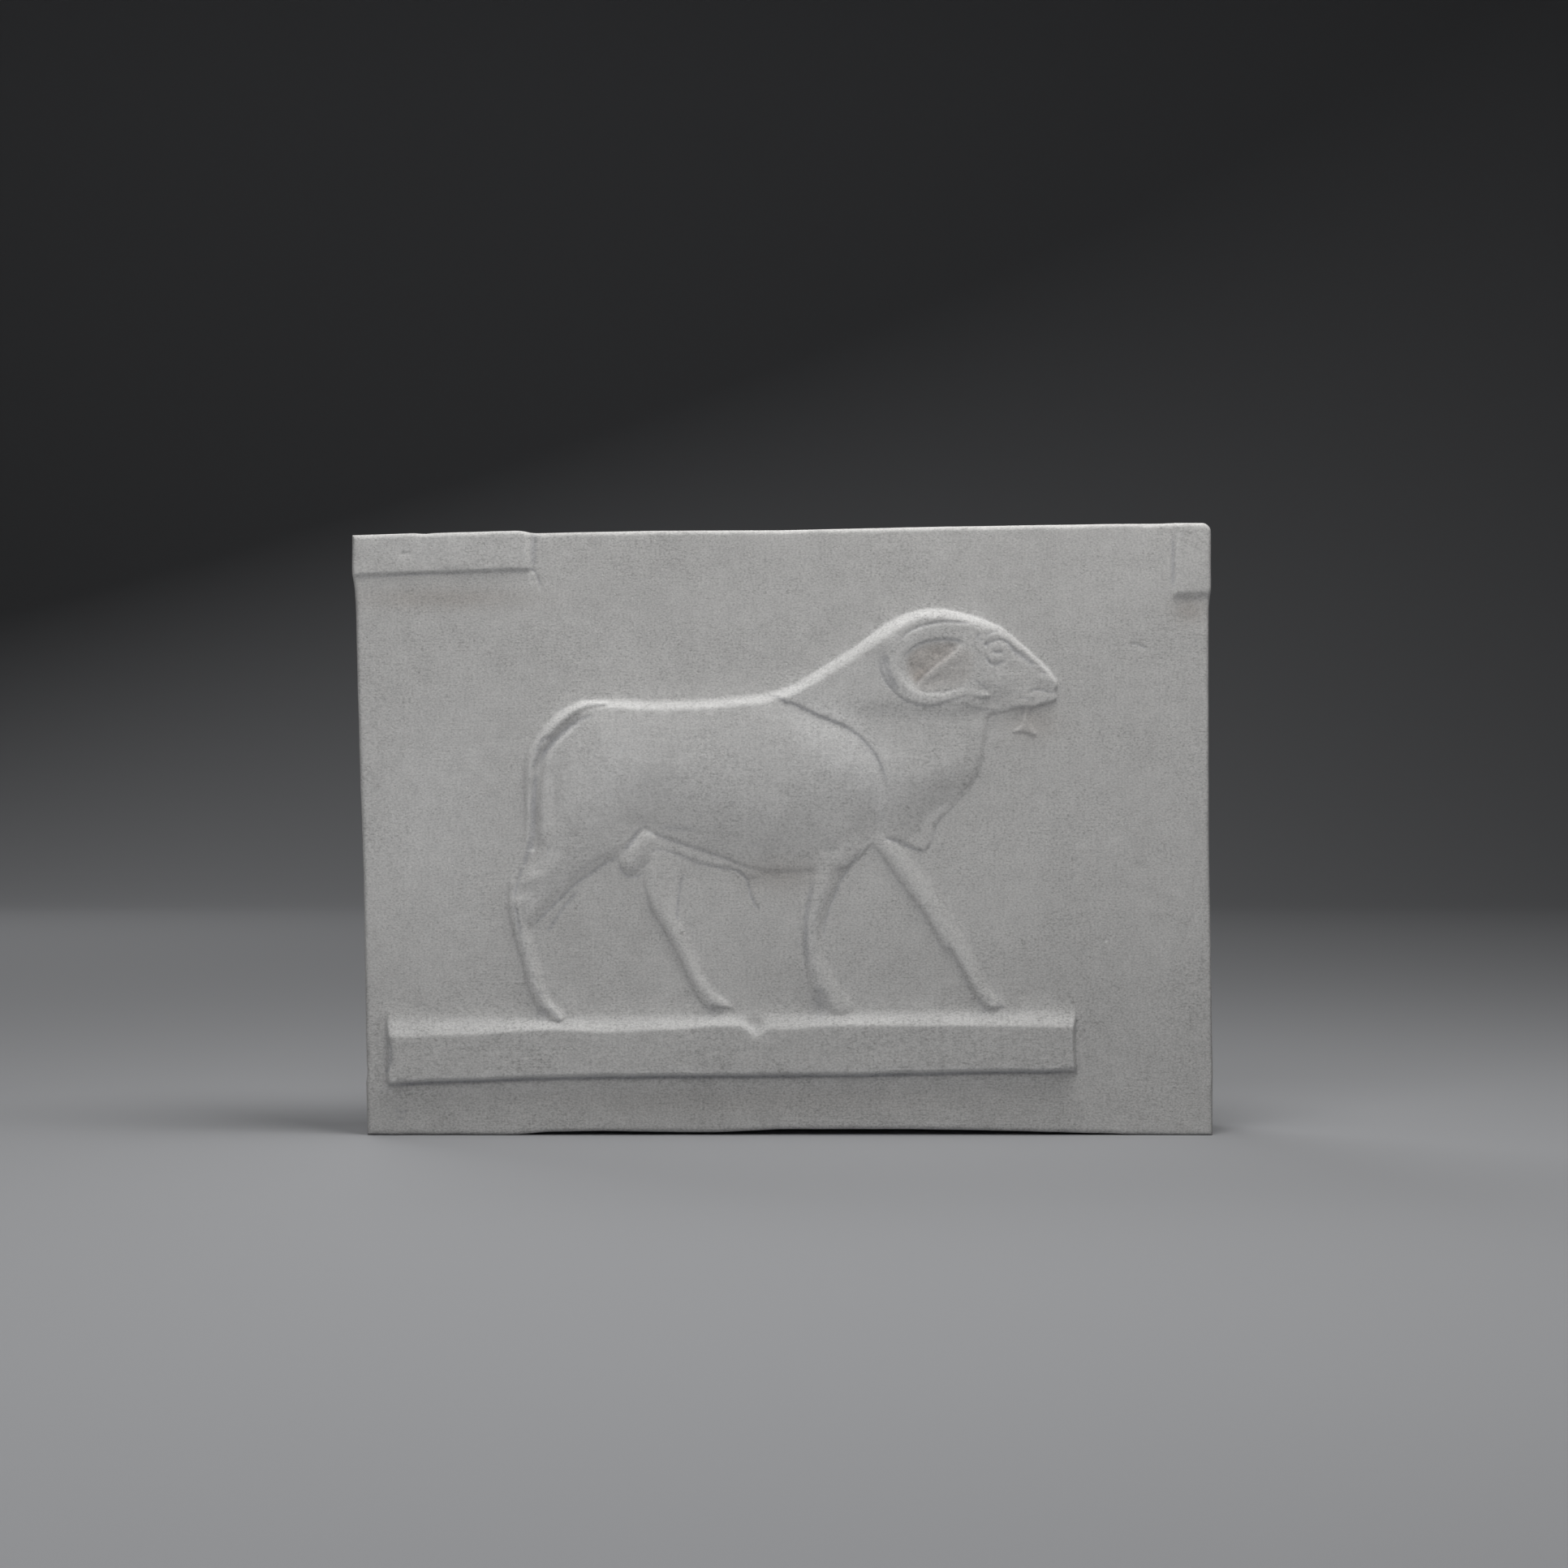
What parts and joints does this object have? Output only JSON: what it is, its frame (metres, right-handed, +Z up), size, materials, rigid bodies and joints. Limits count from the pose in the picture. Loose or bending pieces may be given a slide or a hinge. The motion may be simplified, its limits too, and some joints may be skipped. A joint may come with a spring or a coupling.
{
  "type": "relief plaque",
  "caption": "Thick rectangular plaque with a walking ram carved in low relief on a raised ground bar, and remains of a raised frame along the top; it stands on its lower edge.",
  "frame": {"origin": "centre of the bounding box's lower face, on the surface that the plaque stands on", "axes": "+X to the right as a viewer sees the carving, +Y from the carved front to the flat back, +Z up"},
  "size_m": [0.1692, 0.0246, 0.1203],
  "materials": {
    "plaster": "matt"
  },
  "bodies": {
    "root": {"relief_plaque": "plaster"}
  },
  "joints": []
}
